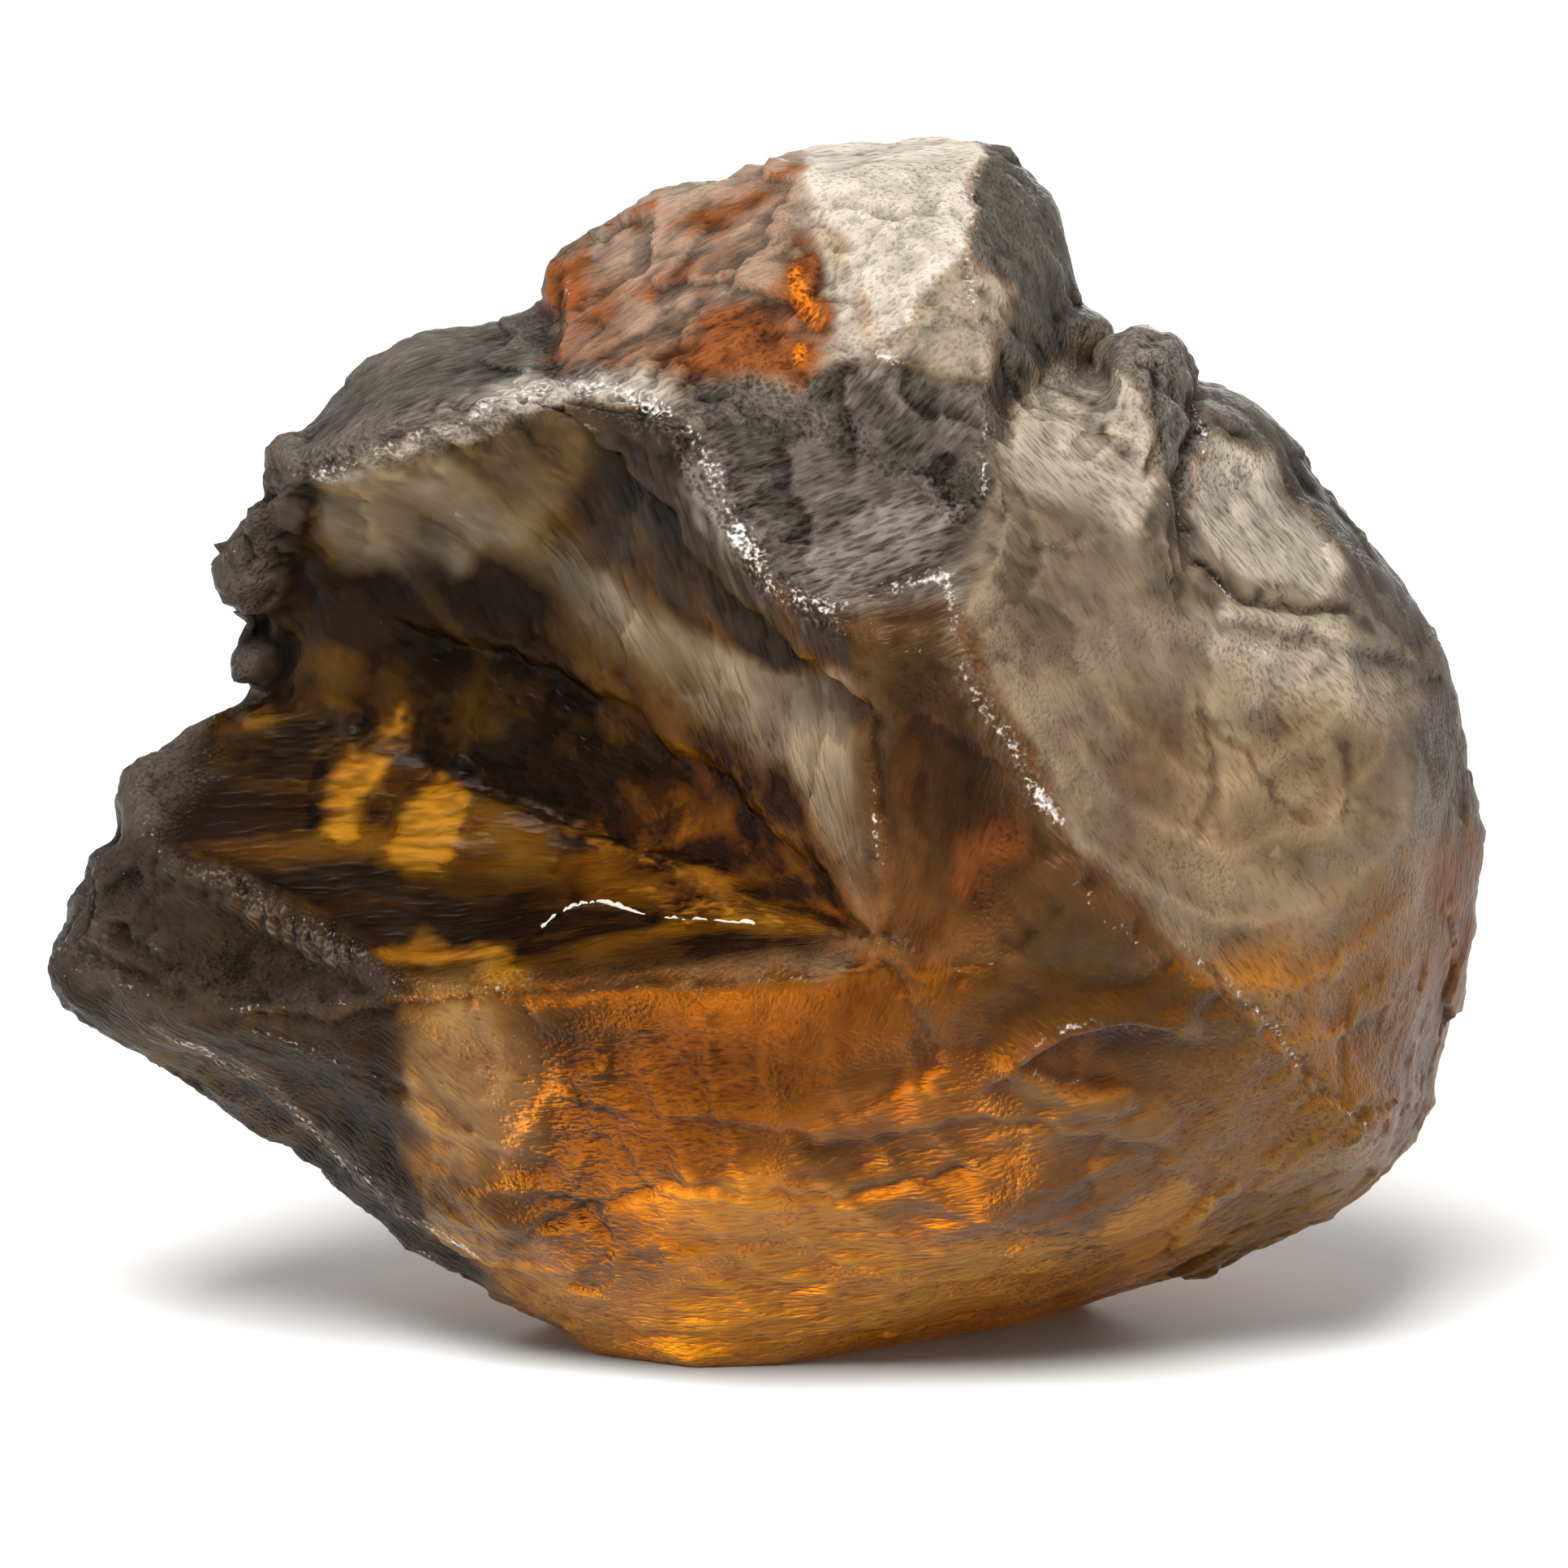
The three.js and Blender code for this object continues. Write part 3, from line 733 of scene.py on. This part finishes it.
def thread(name, surface, line, depth, radius, seed):
    """A thin wavering thread along a line of the show plane, its middle `depth` mm down.

    Where it swells, it comes out through the surface a little, as a healed crack does.
    """
    corners = np.array(line)
    share = np.linspace(0, len(line) - 1, 12 * len(line))
    spots = np.column_stack([
        np.interp(share, range(len(line)), corners[:, axis]) for axis in (0, 1)
    ])
    wobble = [noise.fractal((spot * 2, seed, 0.5), 1, 2, 3) for spot in share.tolist()]
    spots[:, 1] += 0.2 * np.array(wobble)
    curve = bpy.data.curves.new(name, "CURVE")
    curve.dimensions = "3D"
    curve.bevel_depth = radius * MM
    curve.bevel_resolution = 2
    curve.use_fill_caps = True
    spline = curve.splines.new("POLY")
    spline.points.add(len(spots) - 1)
    for point, spot, swell in zip(spline.points, spots.tolist(), wobble):
        point.co = [*(surface_point(surface, spot, depth) * MM), 1]
        point.radius = 1 + 1.2 * swell
    piece = bpy.data.objects.new(name, curve)
    mesh = bpy.data.meshes.new_from_object(piece)
    bpy.data.objects.remove(piece)
    piece = bpy.data.objects.new(name, mesh)
    bpy.context.scene.collection.objects.link(piece)
    mesh.shade_smooth()
    return piece


# --- materials -----------------------------------------------------------------------------


def linear(hex_colour):
    """An sRGB hex colour as the linear RGBA that a shader takes."""
    parts = [int(hex_colour[i:i + 2], 16) / 255 for i in (0, 2, 4)]
    return [p / 12.92 if p <= 0.04045 else ((p + 0.055) / 1.055) ** 2.4 for p in parts] + [1]


def add_node(tree, kind, inputs=None, **settings):
    """Adds a node. Each input is given a value, or the output that feeds it."""
    made = tree.nodes.new(kind)
    for name, value in settings.items():
        setattr(made, name, value)
    for name, value in (inputs or {}).items():
        if isinstance(value, bpy.types.NodeSocket):
            tree.links.new(value, made.inputs[name])
        else:
            made.inputs[name].default_value = value
    return made


# What each finish looks like: how much of the light it stops, what varies its colour (the painted
# light and shade of the relief, paler where it stands out and darker in its gaps, or its streaks),
# and its colours where that is low and high. In order, each over the one before:
# amber, the clear crystal; milk, a break full of fine cracks; smoke, the dark skin of the crystal;
# the golden finish, a film of iron close under the skin, and also a painted glint and glow of light
# through the crystal; slate, matt charcoal crust; the blackest finish, painted shade under the lip
# and in the deepest places; frost, a break crushed so fine that it is pale; rust and ember, iron
# stain, old and bright; the white of a crushed edge, partly a painted highlight.
LOOKS = [
    ("amber", 0.0, "relief_light_shade", "a86410", "f2ae24"),
    ("milk", 0.5, "relief_light_shade", "62584b", "b8a88f"),
    ("smoke", 0.3, "relief_light_shade", "040201", "24170b"),
    ("gold_glow", 0.75, "glitter", "3c1c04", "a86c1c"),
    ("slate", 0.75, "relief_light_shade", "181613", "615a51"),
    ("under_shade", 0.7, "relief_light_shade", "050403", "241d15"),
    ("frost", 0.8, "relief_light_shade", "8a7f72", "d0c4b5"),
    ("rust", 0.65, "relief_light_shade", "2e1205", "985426"),
    ("ember", 0.8, "glitter", "7a3206", "e07c18"),
    ("bruise_highlight", 0.95, "glitter", "aba398", "efebe5"),
]

# The sizes of the break's finest relief, in mm.
GRIT = 0.2
SLIVER_LONG = 0.8
SLIVER_WIDE = 0.2
BUMP_HEIGHT = 0.2

# How much light the bare crystal's skin stops.
BARE = 0.03


def break_pattern(tree):
    """The finest marks of the break: slivers along the grain, with grit where it breaks off.

    Real slivers and grit are finer than 0.1 mm. They are drawn coarser, so that they show.
    """
    place = add_node(tree, "ShaderNodeTexCoord")
    grit_place = add_node(tree, "ShaderNodeMapping", {
        "Vector": place.outputs["Object"], "Scale": [1 / (GRIT * MM)] * 3,
    })
    grit = add_node(tree, "ShaderNodeTexNoise", {
        "Vector": grit_place.outputs["Vector"], "Scale": 1, "Detail": 1,
    })
    grain = add_node(tree, "ShaderNodeAttribute", attribute_name="grain")
    sliver_place = add_node(tree, "ShaderNodeMapping", {
        "Vector": grain.outputs["Vector"],
        "Scale": [1 / (SLIVER_LONG * MM), 1 / (SLIVER_WIDE * MM), 1 / (SLIVER_WIDE * MM)],
    })
    slivers = add_node(tree, "ShaderNodeTexNoise", {
        "Vector": sliver_place.outputs["Vector"], "Scale": 1, "Detail": 1, "Roughness": 0.6,
    })
    seam = add_node(tree, "ShaderNodeAttribute", attribute_name="seam")
    streak = add_node(tree, "ShaderNodeMix", {
        0: seam.outputs["Fac"], 2: slivers.outputs["Fac"], 3: grit.outputs["Fac"],
    })
    return streak.outputs[0], grit.outputs["Fac"]


def lay_finishes(tree, streak, grit, shades):
    """Lays the finishes over the bare crystal: their colour, and how much light they stop.

    Each frays along the slivers, but crushed edges fray into grit.
    """
    # The bare crystal's colour carries painted shade and highlight: darker in the relief's gaps,
    # paler where it stands out.
    colour = add_node(tree, "ShaderNodeMix", {
        0: shades["relief_light_shade"], 6: linear("5a3a10"), 7: linear("aa7424"),
    }, data_type="RGBA")
    opaque = add_node(tree, "ShaderNodeValue")
    opaque.outputs[0].default_value = BARE
    frays = {"bruise_highlight": grit}
    for name, stops, shade, low, high in LOOKS:
        amount = add_node(tree, "ShaderNodeAttribute", attribute_name=name)
        share = add_node(tree, "ShaderNodeMath", {
            0: frays.get(name, streak), 1: FRAY[name], 2: amount.outputs["Fac"],
        }, operation="MULTIPLY_ADD", use_clamp=True)
        own = add_node(tree, "ShaderNodeMix", {
            0: shades[shade], 6: linear(low), 7: linear(high),
        }, data_type="RGBA")
        colour = add_node(tree, "ShaderNodeMix", {
            0: share.outputs[0], 6: colour.outputs[2], 7: own.outputs[2],
        }, data_type="RGBA")
        opaque = add_node(tree, "ShaderNodeMix", {
            0: share.outputs[0], 2: opaque.outputs[0], 3: max(stops, BARE),
        })
    return colour.outputs[2], opaque.outputs[0]


def smoky_quartz():
    """Smoky quartz, broken by blows: clear brown crystal under a skin of matt, splintered breaks.

    The crystal passes light and soaks up its blue and green, so thin places glow amber and deep
    ones go brown. The splintered skin scatters light instead: pale where it is crushed, and
    charcoal where dark crystal lies close under it. Its colour also carries painted highlight and
    shade: paler where the relief stands out, darker in its gaps and hollows.
    """
    material = bpy.data.materials.new("smoky quartz, broken")
    material.use_nodes = True
    tree = material.node_tree
    tree.nodes.clear()
    streak, grit = break_pattern(tree)

    # Nicks are the deep gaps between slivers. As painted shade, they and the low places of the relief
    # darken the matt finishes, and as painted highlight, what stands out is paler.
    nicks = add_node(tree, "ShaderNodeMapRange", {
        "Value": streak, "From Min": 0.31, "From Max": 0.46,
    })
    relief_light_shade = add_node(tree, "ShaderNodeAttribute", attribute_name="relief_light_shade")
    relief_shade_tone = add_node(tree, "ShaderNodeMath", {
        0: nicks.outputs["Result"], 1: 0.2, 2: relief_light_shade.outputs["Fac"],
    }, operation="MULTIPLY_ADD")
    tone = add_node(tree, "ShaderNodeMapRange", {
        "Value": relief_shade_tone.outputs[0], "From Min": 0.15, "From Max": 1.1,
    })
    glitter = add_node(tree, "ShaderNodeMapRange", {
        "Value": streak, "From Min": 0.38, "From Max": 0.62,
    })
    shades = {"relief_light_shade": tone.outputs["Result"], "glitter": glitter.outputs["Result"]}
    colour, opaque = lay_finishes(tree, streak, grit, shades)

    # Where the skin stops more light, it is rougher and its relief is deeper.
    clear = add_node(tree, "ShaderNodeMath", {0: 1, 1: opaque}, operation="SUBTRACT")
    rough = add_node(tree, "ShaderNodeMath", {
        0: opaque, 1: 0.4, 2: 0.22,
    }, operation="MULTIPLY_ADD")
    height = add_node(tree, "ShaderNodeMath", {
        0: nicks.outputs["Result"], 1: 0.3, 2: streak,
    }, operation="MULTIPLY_ADD")
    strength = add_node(tree, "ShaderNodeMath", {
        0: opaque, 1: 0.9, 2: 0.1,
    }, operation="MULTIPLY_ADD")
    bump = add_node(tree, "ShaderNodeBump", {
        "Height": height.outputs[0], "Distance": BUMP_HEIGHT * MM, "Strength": strength.outputs[0],
    })
    # The splinters break up their own gloss, so it is turned down.
    shader = add_node(tree, "ShaderNodeBsdfPrincipled", {
        "Base Color": colour, "Roughness": rough.outputs[0], "IOR": 1.544,
        "Transmission Weight": clear.outputs[0], "Specular IOR Level": 0.3,
        "Specular Tint": (0.12, 0.1, 0.08, 1), "Normal": bump.outputs["Normal"],
    })
    # Over 30 mm the crystal passes 59% of red light, 35% of green and 3% of blue.
    inside = add_node(tree, "ShaderNodeVolumeAbsorption", {
        "Color": (0.86, 0.72, 0.1, 1), "Density": 125,
    })
    add_node(tree, "ShaderNodeOutputMaterial", {
        "Surface": shader.outputs["BSDF"], "Volume": inside.outputs["Volume"],
    })
    return material


def sealed_film(name, hex_colour, roughness):
    """Mineral that grew as a film in a healed crack: matt, in mottles half a millimetre wide."""
    material = bpy.data.materials.new(name)
    material.use_nodes = True
    tree = material.node_tree
    shader = tree.nodes["Principled BSDF"]
    place = add_node(tree, "ShaderNodeTexCoord").outputs["Object"]
    mottle = add_node(tree, "ShaderNodeTexNoise", {
        "Vector": place, "Scale": 1 / (0.455 * MM), "Detail": 2,
    })
    dark = [part * 0.45 for part in linear(hex_colour)[:3]] + [1]
    colour = add_node(tree, "ShaderNodeMix", {
        0: mottle.outputs["Fac"], 6: dark, 7: linear(hex_colour),
    }, data_type="RGBA")
    tree.links.new(colour.outputs[2], shader.inputs["Base Color"])
    shader.inputs["Roughness"].default_value = roughness
    return material


def matt_paper():
    """Matt white paper: it takes the stone's soft shadow."""
    material = bpy.data.materials.new("matt paper")
    material.use_nodes = True
    shader = material.node_tree.nodes["Principled BSDF"]
    shader.inputs["Base Color"].default_value = linear("f2f0ed")
    shader.inputs["Roughness"].default_value = 0.8
    return material


stone = make_stone()
stone.data.materials.append(smoky_quartz())
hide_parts(NODE)
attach(stone, BODY)

# Iron that settled in a crack glows golden through the crystal. A healed crack scatters white.
golden = sealed_film("iron film, golden", "a8803c", 0.6)
white = sealed_film("healed crack, white", "ded4c6", 0.5)

# Films in healed cracks: a name, their spots on the show plane, half width and depth.
FILMS = [
    ("golden_film_left", [(-18.3, 22), (-16.8, 25)], 1.2, 1.3),
    ("golden_film_right", [(-15.2, 20.8), (-12.6, 23.2)], 1.4, 1.3),
]
# The healed crack in the floor of the hollow, on the show plane.
WHITE_THREAD = [
    (-9.5, 17.1), (-8.6, 18), (-7.6, 18.4), (-6.9, 18.5), (-5.5, 18.1), (-4.4, 17.9), (-3.3, 17.8),
    (-2.2, 17.8), (-0.4, 17.6),
]
surface = BVHTree.FromObject(stone, bpy.context.evaluated_depsgraph_get())
sealed = []
for index, (name, spots, half, depth) in enumerate(FILMS):
    places = [surface_point(surface, spot, depth) for spot in spots]
    sealed.append(flake(name, places, half, thickness=0.06, seed=3.7 * index))
    sealed[-1].data.materials.append(golden)
sealed.append(thread("white_thread", surface, WHITE_THREAD, depth=0.13, radius=0.12, seed=4.4))
sealed[-1].data.materials.append(white)
for piece in sealed:
    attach(piece, BODY)


# --- studio --------------------------------------------------------------------------------

AIM = Vector((0.75, 0, 23.7)) * MM      # the point that the camera looks at
FAR = 0.6                               # from the camera to that point, in metres
FRAME_WIDTH = 65.65 * MM                # how wide the camera's view is at the stone

world = bpy.data.worlds.new("white room")
world.use_nodes = True
backdrop = world.node_tree.nodes["Background"]
backdrop.inputs["Color"].default_value = (1, 1, 1, 1)
backdrop.inputs["Strength"].default_value = 0.38
world.cycles.sampling_method = "NONE"     # an even room needs no light map
bpy.context.scene.world = world
bpy.context.scene.view_settings.view_transform = "Standard"

# Light goes through the crystal and out again in up to four bounces.
bpy.context.scene.cycles.max_bounces = 4
bpy.context.scene.cycles.diffuse_bounces = 1
bpy.context.scene.cycles.glossy_bounces = 1
bpy.context.scene.cycles.transmission_bounces = 4

bm = bmesh.new()
bmesh.ops.create_grid(bm, x_segments=1, y_segments=1, size=4)
floor_mesh = bpy.data.meshes.new("floor")
bm.to_mesh(floor_mesh)
bm.free()
floor_mesh.materials.append(matt_paper())
floor = bpy.data.objects.new("floor", floor_mesh)
bpy.context.scene.collection.objects.link(floor)


def softbox(name, place, size, power):
    """A square lamp `size` metres wide that faces the stone."""
    lamp = bpy.data.lights.new(name, "AREA")
    lamp.size = size
    lamp.energy = power
    holder = bpy.data.objects.new(name, lamp)
    bpy.context.scene.collection.objects.link(holder)
    holder.location = place
    holder.rotation_euler = (AIM - Vector(place)).to_track_quat("-Z", "Y").to_euler()


softbox("key", (-0.2, -1.05, 1.3), 0.8, 48)
softbox("light on the paper behind", (0.3, 1.6, 0.3), 0.6, 9)

camera = bpy.data.cameras.new("camera")
camera.sensor_width = 36
camera.lens = camera.sensor_width * FAR / FRAME_WIDTH
viewpoint = bpy.data.objects.new("camera", camera)
bpy.context.scene.collection.objects.link(viewpoint)
viewpoint.location = AIM + Vector(TO_VIEWER) * FAR
viewpoint.rotation_euler = (AIM - viewpoint.location).to_track_quat("-Z", "Y").to_euler()
bpy.context.scene.camera = viewpoint
